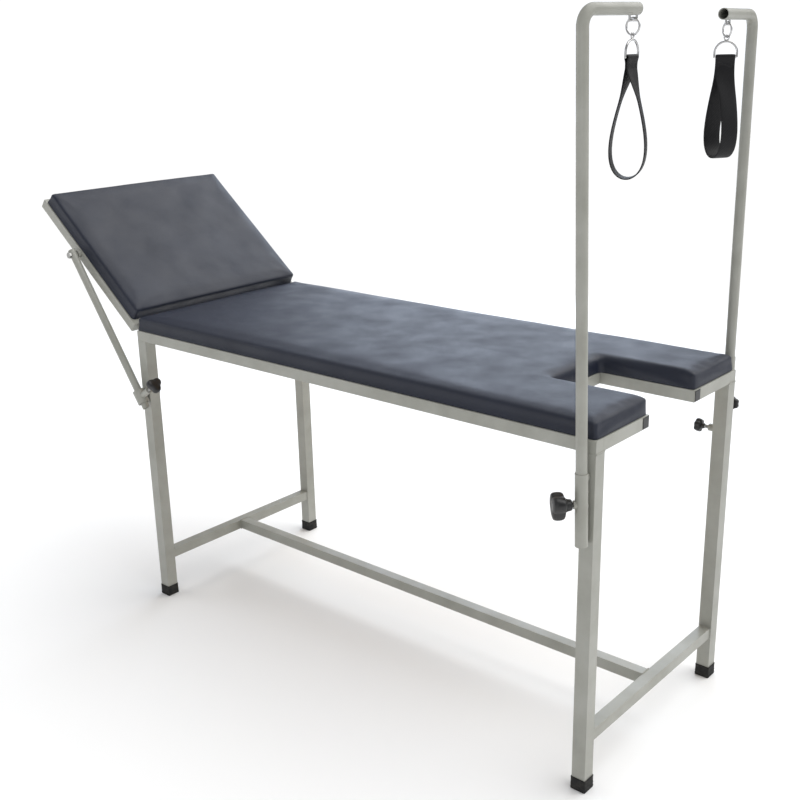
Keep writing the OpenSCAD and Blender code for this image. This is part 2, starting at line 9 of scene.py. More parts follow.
import bmesh
import bpy
import numpy as np
from mathutils import Matrix, Vector, noise


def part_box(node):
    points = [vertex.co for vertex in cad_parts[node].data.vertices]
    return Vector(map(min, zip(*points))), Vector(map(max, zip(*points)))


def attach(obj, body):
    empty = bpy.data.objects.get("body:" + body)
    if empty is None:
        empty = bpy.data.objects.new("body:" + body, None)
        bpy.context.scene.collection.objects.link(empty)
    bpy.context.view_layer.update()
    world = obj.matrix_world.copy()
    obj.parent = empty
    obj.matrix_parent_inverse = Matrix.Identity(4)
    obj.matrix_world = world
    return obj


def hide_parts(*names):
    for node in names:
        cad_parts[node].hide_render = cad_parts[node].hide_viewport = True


MM = 0.001

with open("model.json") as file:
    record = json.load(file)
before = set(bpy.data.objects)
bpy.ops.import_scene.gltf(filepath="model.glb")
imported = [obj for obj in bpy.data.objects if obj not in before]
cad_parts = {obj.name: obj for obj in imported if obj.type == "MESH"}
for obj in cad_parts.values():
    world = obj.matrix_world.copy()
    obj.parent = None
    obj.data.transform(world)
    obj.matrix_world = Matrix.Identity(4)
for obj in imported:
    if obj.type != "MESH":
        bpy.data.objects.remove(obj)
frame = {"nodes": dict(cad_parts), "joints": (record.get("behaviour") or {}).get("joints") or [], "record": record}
nodes = frame["nodes"]
joints = {joint["name"]: joint for joint in frame["joints"]}
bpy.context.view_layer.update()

# ---- camera, lights and floor --------------------------------------------------------------------

CAMERA_PLACE = (1.7877, -1.8668, 1.4048)
CAMERA_ANGLES = (41.30, 17.94, -1.30)  # azimuth, elevation and roll, in degrees
SENSOR_WIDTH = 36  # mm
LENS = 49.56  # mm
VIEW_DEPTH = 50

SUN_POWER = 2.7
SUN_SPREAD = 80  # degrees
SUN_WAY = (-0.35, -0.55, -1.0)
AREA_LIGHTS = (  # name, place, target, size, power, colour
    ("back", (-1.5, 3.0, 1.75), (0.1, 0.0, 0.8), 2.8, 38, (0.72, 0.83, 1.0)),
    ("front", (1.6, -3.4, 1.8), (0.1, 0.0, 0.6), 2.4, 12, (0.98, 0.99, 1.0)),
    ("left", (-3.2, -1.6, 2.0), (0.0, 0.0, 0.6), 2.2, 14, (0.98, 0.99, 1.0)),
)
WORLD_LIGHT = 0.42
WORLD_BACKGROUND = 1.1
FLOOR_SIZE = 30


def make_camera():
    azimuth, elevation, roll = (math.radians(a) for a in CAMERA_ANGLES)
    forward = Vector(
        (
            -math.sin(azimuth) * math.cos(elevation),
            math.cos(azimuth) * math.cos(elevation),
            -math.sin(elevation),
        )
    )
    side = Vector((math.cos(azimuth), math.sin(azimuth), 0))
    top = side.cross(forward)
    right = side * math.cos(roll) + top * math.sin(roll)
    up = top * math.cos(roll) - side * math.sin(roll)
    data = bpy.data.cameras.new("camera")
    data.sensor_width = SENSOR_WIDTH
    data.lens = LENS
    data.clip_end = VIEW_DEPTH
    camera = bpy.data.objects.new("camera", data)
    bpy.context.scene.collection.objects.link(camera)
    axes = Matrix((right, up, -forward)).transposed()
    camera.matrix_world = Matrix.Translation(CAMERA_PLACE) @ axes.to_4x4()
    bpy.context.scene.camera = camera


def area_light(name, place, target, size, power, colour):
    """A round light that lights the couch but isn't seen itself."""
    data = bpy.data.lights.new(name, "AREA")
    data.shape = "DISK"
    data.size = size
    data.energy = power
    data.color = colour
    light = bpy.data.objects.new(name, data)
    light.location = place
    light.rotation_euler = (Vector(target) - Vector(place)).to_track_quat("-Z", "Y").to_euler()
    light.visible_camera = False
    bpy.context.scene.collection.objects.link(light)


def make_lights():
    """A broad soft sun, a cool light from behind, two weak fills and a white surround."""
    data = bpy.data.lights.new("window", "SUN")
    data.energy = SUN_POWER
    data.angle = math.radians(SUN_SPREAD)
    data.color = (1.0, 0.995, 0.98)
    light = bpy.data.objects.new("window", data)
    light.rotation_euler = Vector(SUN_WAY).to_track_quat("-Z", "Y").to_euler()
    bpy.context.scene.collection.objects.link(light)
    for values in AREA_LIGHTS:
        area_light(*values)
    make_world()


def make_world():
    """White to the camera, and dimmer as a light."""
    world = bpy.data.worlds.new("studio")
    world.use_nodes = True
    tree = world.node_tree
    sky = tree.nodes["Background"]
    sky.inputs["Color"].default_value = (0.97, 0.98, 1.0, 1)
    level = tree.nodes.new("ShaderNodeMix")
    level.inputs["A"].default_value = WORLD_LIGHT
    level.inputs["B"].default_value = WORLD_BACKGROUND
    seen = tree.nodes.new("ShaderNodeLightPath").outputs["Is Camera Ray"]
    tree.links.new(seen, level.inputs["Factor"])
    tree.links.new(level.outputs["Result"], sky.inputs["Strength"])
    bpy.context.scene.world = world
    bpy.context.scene.view_settings.view_transform = "Standard"


def make_floor():
    bpy.ops.mesh.primitive_plane_add(size=FLOOR_SIZE, location=(0, 0, 0))
    floor = bpy.context.object
    floor.name = "floor"
    shade = Shade("floor", (0.93, 0.93, 0.93), 0.9, specular=0.1)
    shade.bump(shade.noise(60, 3), 0.02, 1 * MM)
    floor.data.materials.append(shade.material)


# ---- materials -----------------------------------------------------------------------------------


class Shade:
    """A Principled material with short calls for the nodes that feed it."""

    def __init__(self, name, colour, roughness, metallic=0.0, specular=0.5):
        self.material = bpy.data.materials.new(name)
        self.material.use_nodes = True
        self.tree = self.material.node_tree
        self.surface = self.tree.nodes["Principled BSDF"]
        self.set("Base Color", (*colour, 1))
        self.set("Roughness", roughness)
        self.set("Metallic", metallic)
        self.set("Specular IOR Level", specular)
        self.place = self.add("ShaderNodeTexCoord").outputs["Object"]
        self.normal = None

    def add(self, kind, **values):
        node = self.tree.nodes.new(kind)
        for key, value in values.items():
            setattr(node, key, value)
        return node

    def set(self, socket, value):
        self.surface.inputs[socket].default_value = value

    def link(self, output, socket):
        self.tree.links.new(output, self.surface.inputs[socket])

    def stretched(self, scale):
        """Object coordinates multiplied by scale, for grain that runs one way."""
        mapping = self.add("ShaderNodeMapping")
        mapping.inputs["Scale"].default_value = scale
        self.tree.links.new(self.place, mapping.inputs["Vector"])
        return mapping.outputs["Vector"]

    def noise(self, scale, detail=2, roughness=0.5, at=None):
        node = self.add("ShaderNodeTexNoise")
        node.inputs["Scale"].default_value = scale
        node.inputs["Detail"].default_value = detail
        node.inputs["Roughness"].default_value = roughness
        self.tree.links.new(at or self.place, node.inputs["Vector"])
        return node.outputs["Fac"]

    def cells(self, scale, feature="DISTANCE_TO_EDGE", at=None):
        node = self.add("ShaderNodeTexVoronoi", feature=feature)
        node.inputs["Scale"].default_value = scale
        self.tree.links.new(at or self.place, node.inputs["Vector"])
        return node.outputs["Distance"]

    def bands(self, scale, at, distortion=0.0, direction="X"):
        node = self.add("ShaderNodeTexWave", bands_direction=direction)
        node.inputs["Scale"].default_value = scale
        node.inputs["Distortion"].default_value = distortion
        self.tree.links.new(at, node.inputs["Vector"])
        return node.outputs["Fac"]

    def ramp(self, value, stops):
        """Colours or grey levels at places from 0 to 1."""
        node = self.add("ShaderNodeValToRGB")
        points = node.color_ramp.elements
        while len(points) < len(stops):
            points.new(0.5)
        for point, (place, colour) in zip(points, stops):
            point.position = place
            level = colour if hasattr(colour, "__len__") else (colour,) * 3
            point.color = (*level, 1)
        self.tree.links.new(value, node.inputs["Fac"])
        return node.outputs["Color"]

    def mix(self, share, a, b):
        node = self.add("ShaderNodeMix", data_type="RGBA")
        for socket, value in ((node.inputs[0], share), (node.inputs[6], a), (node.inputs[7], b)):
            if hasattr(value, "is_output"):
                self.tree.links.new(value, socket)
            else:
                socket.default_value = value if socket == node.inputs[0] else (*value, 1)
        return node.outputs[2]

    def math(self, kind, a, b):
        node = self.add("ShaderNodeMath", operation=kind)
        for socket, value in zip(node.inputs, (a, b)):
            if hasattr(value, "is_output"):
                self.tree.links.new(value, socket)
            else:
                socket.default_value = value
        return node.outputs[0]

    def bump(self, height, strength, distance):
        """Adds a layer of bump over the ones before it."""
        node = self.add("ShaderNodeBump")
        node.inputs["Strength"].default_value = strength
        node.inputs["Distance"].default_value = distance
        self.tree.links.new(height, node.inputs["Height"])
        if self.normal:
            self.tree.links.new(self.normal, node.inputs["Normal"])
        self.normal = node.outputs["Normal"]
        self.link(self.normal, "Normal")

    def edges(self, radius):
        """1 on corners sharper than the radius, 0 on flat faces."""
        bevel = self.add("ShaderNodeBevel", samples=4)
        bevel.inputs["Radius"].default_value = radius
        geometry = self.add("ShaderNodeNewGeometry")
        dot = self.add("ShaderNodeVectorMath", operation="DOT_PRODUCT")
        self.tree.links.new(bevel.outputs["Normal"], dot.inputs[0])
        self.tree.links.new(geometry.outputs["Normal"], dot.inputs[1])
        return self.math("SUBTRACT", 1.0, dot.outputs["Value"])


def enamel():
    """Stoved ivory-grey enamel on steel tube: orange peel, faint stains, rubbed edges."""
    shade = Shade("enamel", (0.31, 0.31, 0.25), 0.38)
    stains = shade.noise(9, 4, 0.6)
    tones = [
        (0.3, (0.285, 0.285, 0.248)),
        (0.5, (0.335, 0.335, 0.298)),
        (0.72, (0.38, 0.38, 0.345)),
    ]
    base = shade.ramp(stains, tones)
    specks = shade.ramp(shade.noise(210, 3, 0.7), [(0.66, 0.0), (0.74, 1.0)])
    base = shade.mix(shade.math("MULTIPLY", specks, 0.25), base, (0.15, 0.145, 0.1))
    patches = shade.ramp(stains, [(0.45, 0.0), (0.7, 1.0)])
    rubbed = shade.math("MULTIPLY", shade.edges(1.6 * MM), patches)
    base = shade.mix(rubbed, base, (0.18, 0.17, 0.135))
    shade.link(base, "Base Color")
    shade.link(shade.ramp(shade.noise(26, 4), [(0.3, 0.3), (0.7, 0.48)]), "Roughness")
    shade.set("Coat Weight", 0.15)
    shade.set("Coat Roughness", 0.25)
    shade.bump(shade.noise(420, 2), 0.12, 0.4 * MM)
    shade.bump(shade.noise(38, 3), 0.1, 0.8 * MM)
    return shade.material


def vinyl():
    """Dark blue upholstery vinyl: pebbled grain, soft sheen, rubbed lighter patches."""
    shade = Shade("vinyl", (0.02, 0.027, 0.06), 0.45, specular=0.42)
    clouds = shade.noise(5.5, 4, 0.55)
    tones = [
        (0.3, (0.007, 0.010, 0.020)),
        (0.52, (0.009, 0.013, 0.026)),
        (0.75, (0.013, 0.018, 0.034)),
    ]
    base = shade.ramp(clouds, tones)
    grain = shade.cells(620)
    pits = shade.ramp(grain, [(0.0, 0.0), (0.16, 1.0)])
    base = shade.mix(pits, (0.008, 0.011, 0.026), base)
    shade.link(base, "Base Color")
    shade.link(shade.ramp(shade.noise(14, 4), [(0.28, 0.38), (0.72, 0.54)]), "Roughness")
    shade.set("Sheen Weight", 0.03)
    shade.set("Sheen Roughness", 0.4)
    shade.set("Sheen Tint", (0.55, 0.65, 1.0, 1))
    shade.bump(pits, 0.28, 0.35 * MM)
    shade.bump(shade.noise(160, 3), 0.16, 0.6 * MM)
    shade.bump(shade.noise(16, 3), 0.12, 4 * MM)
    return shade.material


def plywood():
    """Face veneer with long grain, pores and a few darker streaks."""
    shade = Shade("plywood", (0.5, 0.35, 0.2), 0.7, specular=0.25)
    along = shade.stretched((1.2, 14, 14))
    grain = shade.bands(3.2, along, distortion=6.0, direction="Y")
    tone = shade.mix(grain, (0.42, 0.27, 0.14), (0.60, 0.44, 0.27))
    pores = shade.noise(60, 4, 0.7, at=shade.stretched((1, 24, 24)))
    tone = shade.mix(shade.ramp(pores, [(0.35, 0.55), (0.6, 0.0)]), tone, (0.2, 0.11, 0.05))
    shade.link(tone, "Base Color")
    shade.bump(pores, 0.25, 0.5 * MM)
    return shade.material


def rubber():
    """Black ferrule rubber with grey dust in patches."""
    shade = Shade("rubber", (0.015, 0.015, 0.015), 0.78, specular=0.3)
    dust = shade.ramp(shade.noise(70, 5, 0.7), [(0.45, 0.0), (0.8, 0.35)])
    shade.link(shade.mix(dust, (0.013, 0.013, 0.013), (0.11, 0.105, 0.09)), "Base Color")
    shade.link(shade.ramp(shade.noise(120, 3), [(0.3, 0.68), (0.7, 0.86)]), "Roughness")
    shade.bump(shade.noise(700, 3), 0.3, 0.4 * MM)
    return shade.material


def black_plastic():
    """Moulded black plastic: fine spark-eroded texture, glossier where it is handled."""
    shade = Shade("black_plastic", (0.012, 0.012, 0.013), 0.36)
    worn = shade.noise(45, 4, 0.6)
    shade.link(
        shade.ramp(worn, [(0.35, (0.009, 0.009, 0.010)), (0.7, (0.020, 0.020, 0.021))]), "Base Color"
    )
    shade.link(shade.ramp(worn, [(0.3, 0.28), (0.7, 0.5)]), "Roughness")
    shade.bump(shade.noise(1500, 2), 0.18, 0.15 * MM)
    return shade.material


def chrome():
    """Bright plated wire, slightly uneven, with tarnish in patches."""
    shade = Shade("chrome_wire", (0.75, 0.75, 0.76), 0.14, metallic=1.0)
    tarnish = shade.noise(130, 4, 0.6)
    tones = [(0.35, (0.62, 0.62, 0.63)), (0.75, (0.4, 0.39, 0.37))]
    shade.link(shade.ramp(tarnish, tones), "Base Color")
    shade.link(shade.ramp(tarnish, [(0.3, 0.09), (0.75, 0.3)]), "Roughness")
    shade.bump(shade.noise(900, 2), 0.08, 0.1 * MM)
    return shade.material


def zinc():
    """Mottled zinc plating on screws, pins and nuts."""
    shade = Shade("plain_steel", (0.5, 0.5, 0.49), 0.35, metallic=1.0)
    mottle = shade.noise(240, 4, 0.65)
    shade.link(shade.ramp(mottle, [(0.3, (0.3, 0.3, 0.29)), (0.7, (0.46, 0.46, 0.45))]), "Base Color")
    shade.link(shade.ramp(mottle, [(0.3, 0.26), (0.7, 0.5)]), "Roughness")
    shade.bump(shade.noise(1100, 2), 0.15, 0.1 * MM)
    return shade.material


def webbing():
    """Black polypropylene webbing: crossed ribs laid out in the strap's UVs."""
    shade = Shade("webbing", (0.007, 0.007, 0.008), 0.6, specular=0.3)
    shade.place = shade.add("ShaderNodeUVMap", uv_map="strap").outputs["UV"]
    warp = shade.bands(0.16, shade.stretched((0, 1000, 0)), direction="Y")
    weft = shade.bands(0.11, shade.stretched((1000, 1000, 0)), direction="DIAGONAL")
    weave = shade.math("MULTIPLY", warp, weft)
    shade.link(
        shade.ramp(weave, [(0.1, (0.002, 0.002, 0.003)), (0.8, (0.010, 0.010, 0.012))]), "Base Color"
    )
    fuzz = shade.noise(900, 3, 0.7)
    shade.link(shade.ramp(fuzz, [(0.3, 0.42), (0.7, 0.66)]), "Roughness")
    shade.set("Sheen Weight", 0.01)
    shade.set("Sheen Roughness", 0.45)
    shade.bump(weave, 0.7, 0.35 * MM)
    shade.bump(fuzz, 0.2, 0.1 * MM)
    return shade.material


def thread():
    """Black sewing thread."""
    shade = Shade("thread", (0.02, 0.02, 0.022), 0.6)
    shade.link(
        shade.ramp(shade.noise(1200, 2), [(0.3, (0.012, 0.012, 0.014)), (0.7, (0.05, 0.05, 0.055))]),
        "Base Color",
    )
    shade.bump(shade.noise(2200, 2), 0.3, 0.1 * MM)
    return shade.material


MATERIALS = {
    "enamel": enamel(),
    "vinyl": vinyl(),
    "plywood": plywood(),
    "rubber": rubber(),
    "black_plastic": black_plastic(),
    "chrome_wire": chrome(),
    "plain_steel": zinc(),
    "strap": webbing(),
}
THREAD = thread()

# ---- shared mesh code ----------------------------------------------------------------------------


def new_object(name, mesh, slot, body, replaced=()):
    """A piece made from mesh, with its slot's material, riding on a CAD body."""
    piece = bpy.data.objects.new(name, mesh)
    bpy.context.scene.collection.objects.link(piece)
    mesh.materials.append(MATERIALS[slot])
    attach(piece, body)
    if replaced:
        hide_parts(*replaced)
    return piece


def refine(piece):
    """One level of subdivision, in the view and in renders."""
    fine = piece.modifiers.new("fine", "SUBSURF")
    fine.levels = fine.render_levels = 1


def smooth_shaded(mesh):
    for polygon in mesh.polygons:
        polygon.use_smooth = True


def mesh_from(name, points, faces):
    mesh = bpy.data.meshes.new(name)
    mesh.from_pydata([tuple(p) for p in points], [], faces)
    mesh.update()
    smooth_shaded(mesh)
    return mesh


def band(here, there, count):
    """Four-sided faces between two rings of count points that start at these indices."""
    return [
        (here + j, here + (j + 1) % count, there + (j + 1) % count, there + j)
        for j in range(count)
    ]


def skin_rings(rings, closed_ends=True):
    """Points and faces of a skin over equal rings, closed by a fan at each end if asked."""
    count = len(rings[0])
    points = [p for ring in rings for p in ring]
    faces = []
    for i in range(len(rings) - 1):
        faces += band(i * count, (i + 1) * count, count)
    if closed_ends:
        last = (len(rings) - 1) * count
        for start, flip in ((0, True), (last, False)):
            ring = points[start : start + count]
            centre = len(points)
            points.append(sum((Vector(p) for p in ring), Vector()) / count)
            for j in range(count):
                edge = (start + j, start + (j + 1) % count)
                faces.append((centre, *(reversed(edge) if flip else edge)))
    return points, faces


def frame_of(place, axis):
    """Matrix whose +Z points along axis and +X as near to straight up as it can, at place."""
    up = Vector((0, 0, 1))
    z = Vector(axis).normalized()
    x = up - z * z.dot(up)
    x.normalize()
    return Matrix.Translation(place) @ Matrix((x, z.cross(x), z)).transposed().to_4x4()


def units(count):
    """Cosine and sine of equal steps round a circle."""
    angles = [2 * math.pi * i / count for i in range(count)]
    return [(math.cos(a), math.sin(a)) for a in angles]


def outline_square(half, corner, steps=5):
    """Square outline with rounded corners."""
    points = []
    for quarter in range(4):
        centre = Matrix.Rotation(math.pi / 2 * quarter, 2) @ Vector((half - corner, half - corner))
        for i in range(steps + 1):
            a = math.pi / 2 * (quarter + i / steps)
            points.append((centre.x + corner * math.cos(a), centre.y + corner * math.sin(a)))
    return points


# ---- carried-over CAD nodes ----------------------------------------------------------------------

SOFT_EDGE = {"enamel": 2.2 * MM, "plain_steel": 0.5 * MM, "black_plastic": 1.2 * MM}
FINE_EDGE = 0.7 * MM
THIN_WALLED = ("pole_", "socket_", "stay", "clamp_bosses", "rail_end", "back_end", "hinge_plates")


def dress_cad_nodes():
    """Every CAD node gets its slot's material, and its sharp edges are rounded."""
    slots = {part["node"]: part["material_slot"] for part in frame["record"]["subparts"]}
    for name, node in nodes.items():
        slot = slots[name]
        node.data.materials.clear()
        node.data.materials.append(MATERIALS[slot])
        if slot in ("vinyl", "strap"):
            continue
        weld = node.modifiers.new("weld", "WELD")
        weld.merge_threshold = 0.005 * MM
        flat = node.modifiers.new("flat faces", "DECIMATE")
        flat.decimate_type = "DISSOLVE"
        flat.angle_limit = math.radians(0.5)
        width = SOFT_EDGE.get(slot, FINE_EDGE)
        if name.startswith(THIN_WALLED):
            width = min(width, FINE_EDGE)
        bevel = node.modifiers.new("rounded edges", "BEVEL")
        bevel.width = width
        bevel.segments = 3
        bevel.limit_method = "ANGLE"
        bevel.angle_limit = math.radians(35)
        bevel.harden_normals = False
        bevel.miter_outer = "MITER_ARC"
        smooth_shaded(node.data)
        weighted = node.modifiers.new("weighted", "WEIGHTED_NORMAL")
        weighted.keep_sharp = True


# ---- cushions ------------------------------------------------------------------------------------

CUSHION_VOXEL = 6 * MM
CUSHION_INSET = 1 * MM
CUSHION_SWELL = 3.5 * MM
CUSHION_LIFT = 0.3 * MM
CUSHION_ROOT = 9 * MM
SEAM_FILL = 1 * MM  # past the CAD cushion, into the gap between the two
CUSHION_CORNER = 5 * MM
CROWN = 1.8 * MM
UNEVENNESS = 0.7 * MM
CREASE_DEPTH = 1.6 * MM
CREASE_REACH = 7 * MM
CLOTH_FRAMES = 20
NOTCH_HALF = 92 * MM
NOTCH_DEPTH = 215 * MM


def rounded_corners(corners, radius, steps=4):
    """Outline through the corners, each turned into an arc of that radius."""
    points = []
    for i, corner in enumerate(corners):
        here = Vector(corner)
        before = (Vector(corners[i - 1]) - here).normalized()
        after = (Vector(corners[(i + 1) % len(corners)]) - here).normalized()
        centre = here + (before + after) * radius
        for j in range(steps + 1):
            a = math.pi / 2 * j / steps
            points.append(centre - after * radius * math.cos(a) - before * radius * math.sin(a))
    return points


def slab(name, outline, bottom, top):
    """Closed straight-sided solid over an outline."""
    body = bmesh.new()
    face = body.faces.new([body.verts.new((p[0], p[1], bottom)) for p in outline])
    raised = bmesh.ops.extrude_face_region(body, geom=[face])["geom"]
    upper = [v for v in raised if isinstance(v, bmesh.types.BMVert)]
    bmesh.ops.translate(body, verts=upper, vec=(0, 0, top - bottom))
    bmesh.ops.recalc_face_normals(body, faces=body.faces)
    mesh = bpy.data.meshes.new(name)
    body.to_mesh(mesh)
    body.free()
    return mesh


def applied(piece):
    """The piece's mesh with its modifiers applied."""
    graph = bpy.context.evaluated_depsgraph_get()
    return bpy.data.meshes.new_from_object(piece.evaluated_get(graph))


def coordinates(mesh):
    flat = np.zeros(len(mesh.vertices) * 3)
    mesh.vertices.foreach_get("co", flat)
    return flat.reshape(-1, 3)


def swollen(mesh, bottom):
    """The slab remeshed, and its points after it is blown up a little as cloth, root held."""
    scene = bpy.context.scene
    piece = bpy.data.objects.new("cushion_form", mesh)
    scene.collection.objects.link(piece)
    remesh = piece.modifiers.new("remesh", "REMESH")
    remesh.mode = "VOXEL"
    remesh.voxel_size = CUSHION_VOXEL
    piece.data = applied(piece)
    piece.modifiers.clear()
    rest = coordinates(piece.data)
    held = piece.vertex_groups.new(name="held")
    root = np.flatnonzero(rest[:, 2] < bottom + CUSHION_VOXEL)
    held.add([int(i) for i in root], 1.0, "REPLACE")
    cloth = piece.modifiers.new("cloth", "CLOTH")
    cloth.settings.quality = 3
    cloth.settings.mass = 0.3
    cloth.settings.tension_stiffness = 12
    cloth.settings.compression_stiffness = 12
    cloth.settings.bending_stiffness = 2
    cloth.settings.use_pressure = True
    cloth.settings.uniform_pressure_force = 4
    cloth.settings.vertex_group_mass = "held"
    cloth.settings.effector_weights.gravity = 0
    cloth.point_cache.frame_start = 1
    cloth.point_cache.frame_end = CLOTH_FRAMES
    for step in range(1, CLOTH_FRAMES + 1):
        scene.frame_set(step)
    moved = coordinates(applied(piece)) - rest
    scene.frame_set(1)
    piece.modifiers.clear()
    length = np.linalg.norm(moved, axis=1, keepdims=True)
    rest = rest + moved * np.minimum(1.0, CUSHION_SWELL / np.maximum(length, 1e-9))
    result = piece.data
    bpy.data.objects.remove(piece)
    return result, rest


def eased(mesh):
    """The mesh with its voxel steps smoothed away."""
    piece = bpy.data.objects.new("cushion_form", mesh)
    bpy.context.scene.collection.objects.link(piece)
    ease = piece.modifiers.new("ease", "SMOOTH")
    ease.factor = 0.5
    ease.iterations = 3
    result = applied(piece)
    bpy.data.objects.remove(piece)
    return result


def cushion(name, outline, bottom, top, creases, place, body, replaced):
    """Foam cushion in vinyl: swollen slab, crowned, gently uneven, creased at its corners."""
    mesh, points = swollen(slab(name, outline, bottom - CUSHION_ROOT, top), bottom)
    height = np.clip((points[:, 2] - bottom) / (top - bottom), 0, 1)
    lo, hi = points.min(0), points.max(0)
    across = (points - (lo + hi) / 2) / ((hi - lo) / 2)
    crown = CROWN * (1 - np.clip(np.abs(across[:, 1]), 0, 1) ** 3) * height
    uneven = np.array(
        [noise.noise(Vector(p) * 7) + 0.4 * noise.noise(Vector(p) * 19) for p in points]
    )
    points[:, 2] += crown + UNEVENNESS * uneven * height
    for corner in creases:
        away = np.linalg.norm(points[:, :2] - np.array(corner)[None, :2], axis=1)
        crease = np.exp(-((away / CREASE_REACH) ** 2)) * 4 * height * (1 - height)
        inward = np.array(corner[2:])
        points[:, :2] += inward[None, :] * (CREASE_DEPTH * crease)[:, None]
    mesh.vertices.foreach_set("co", points.ravel())
    mesh = eased(mesh)
    points = coordinates(mesh)
    points[:, 2] = np.maximum(points[:, 2], bottom)
    mesh.vertices.foreach_set("co", points.ravel())
    mesh.transform(place)
    mesh.update()
    smooth_shaded(mesh)
    piece = new_object(name, mesh, "vinyl", body, replaced)
    refine(piece)
    return piece


def corner_creases(x0, x1, y0, y1):
    """A rectangle's corners, each with the way its crease goes in."""
    return [(x0, y0, 0.7, 0.7), (x1, y0, -0.7, 0.7), (x1, y1, -0.7, -0.7), (x0, y1, 0.7, -0.7)]


def seat_cushion():
    low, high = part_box("seat_pad")
    inset = CUSHION_INSET
    x0, x1 = low.x - SEAM_FILL, high.x - inset
    y0, y1 = low.y + inset, high.y - inset
    notch_x = high.x - NOTCH_DEPTH - inset
    notch_y = NOTCH_HALF + inset
    corners = [
        (x0, y0),
        (x1, y0),
        (x1, -notch_y),
        (notch_x, -notch_y),
        (notch_x, notch_y),
        (x1, notch_y),
        (x1, y1),
        (x0, y1),
    ]
    outline = rounded_corners(corners, CUSHION_CORNER)
    creases = corner_creases(x0, x1, y0, y1)
    creases += [(x1, -notch_y, -0.7, -0.7), (x1, notch_y, -0.7, 0.7)]
    bottom = low.z + CUSHION_LIFT
    top = high.z - CUSHION_SWELL
    return cushion(
        "seat_cushion", outline, bottom, top, creases, Matrix.Identity(4), "frame", ["seat_pad"]
    )


def back_space():
    """Matrix from flat backrest space to the row frame: origin on the hinge, -X up the backrest."""
    tilt = joints["back_tilt"]
    flat = math.radians(-tilt["range_deg"][0])
    return Matrix.Translation(tilt["pos_m"]) @ Matrix.Rotation(flat, 4, "Y")


def back_cushion():
    space = back_space()
    flat = [space.inverted() @ v.co for v in nodes["back_pad"].data.vertices]
    low = Vector([min(p[i] for p in flat) for i in range(3)])
    high = Vector([max(p[i] for p in flat) for i in range(3)])
    inset = CUSHION_INSET
    x0, x1 = low.x + inset, high.x + SEAM_FILL
    y0, y1 = low.y + inset, high.y - inset
    outline = rounded_corners([(x0, y0), (x1, y0), (x1, y1), (x0, y1)], CUSHION_CORNER)
    creases = corner_creases(x0, x1, y0, y1)
    bottom = low.z + CUSHION_LIFT
    top = high.z - CUSHION_SWELL
    return cushion("back_cushion", outline, bottom, top, creases, space, "backrest", ["back_pad"])


# ---- knobs, screws and ferrules ------------------------------------------------------------------


KNOBS = (  # name, body, lobes, depth of the lobes as a share of the radius
    ("near", "near_pole_knob", 3, 0.34),
    ("stay", "stay_clamp_knob", 3, 0.34),
    ("far", "far_pole_knob", 6, 0.14),
    ("leg", "far_leg_knob", 6, 0.14),
)
KNOB_SIDES = 72
KNOB_NECK = 0.3  # height of the neck, as a share of the knob
KNOB_NECK_RINGS = ((0.0, 0.40), (0.35, 0.42), (0.85, 0.46), (1.0, 0.52))
KNOB_NECK_WIDTH = 0.9
KNOB_HEAD_STEPS = 12
KNOB_BULGE = 2.6
KNOB_RIM = 0.62  # radius of the head's top and bottom, as a share of its widest
THREAD_PITCH = 1.25 * MM
THREAD_DEPTH = 0.65 * MM
THREAD_SIDES = 24
STEPS_PER_PITCH = 6


def shaft_space(node, joint):
    """Matrix at the node's start along its joint's axis, and the node's length and radius."""
    axis = Vector(joints[joint]["axis"])
    origin = Vector(joints[joint]["pos_m"])
    spans = [v.co - origin for v in nodes[node].data.vertices]
    along = [s.dot(axis) for s in spans]
    start, end = min(along), max(along)
    radius = max((s - axis * s.dot(axis)).length for s in spans)
    return frame_of(origin + axis * start, axis), end - start, radius


def knob(name, node, body, joint, lobes, depth):
    """Moulded clamping knob: a short neck and a head with full rounded lobes."""
    place, thick, radius = shaft_space(node, joint)
    head = thick * (1 - KNOB_NECK)
    rings = []
    for t, size in KNOB_NECK_RINGS:
        r = KNOB_NECK_WIDTH * size * radius
        rings.append([(r * c, r * s, t * KNOB_NECK * thick) for c, s in units(KNOB_SIDES)])
    for step in range(KNOB_HEAD_STEPS + 1):
        rise = step / KNOB_HEAD_STEPS
        bulge = (1 - abs(2 * rise - 1) ** KNOB_BULGE) ** (1 / KNOB_BULGE)
        reach = KNOB_RIM + (1 - KNOB_RIM) * bulge
        ring = []
        for c, s in units(KNOB_SIDES):
            a = math.atan2(s, c)
            wave = 0.5 + 0.5 * math.cos(lobes * (a - math.pi))
            lobe = (1 - depth) + depth * wave**0.75
            r = radius * reach * (lobe if reach > KNOB_RIM else 0.8 * lobe)
            ring.append((r * c, r * s, KNOB_NECK * thick + head * rise))
        rings.append(ring)
    for share in (0.45, 0.2):
        dish = KNOB_NECK * thick + head * (1 - 0.06 * (1 - share))
        r = radius * share
        rings.append([(r * c, r * s, dish) for c, s in units(KNOB_SIDES)])
    points, faces = skin_rings(rings)
    mesh = mesh_from(name, [place @ Vector(p) for p in points], faces)
    piece = new_object(name, mesh, "black_plastic", body, [node])
    refine(piece)
    return piece


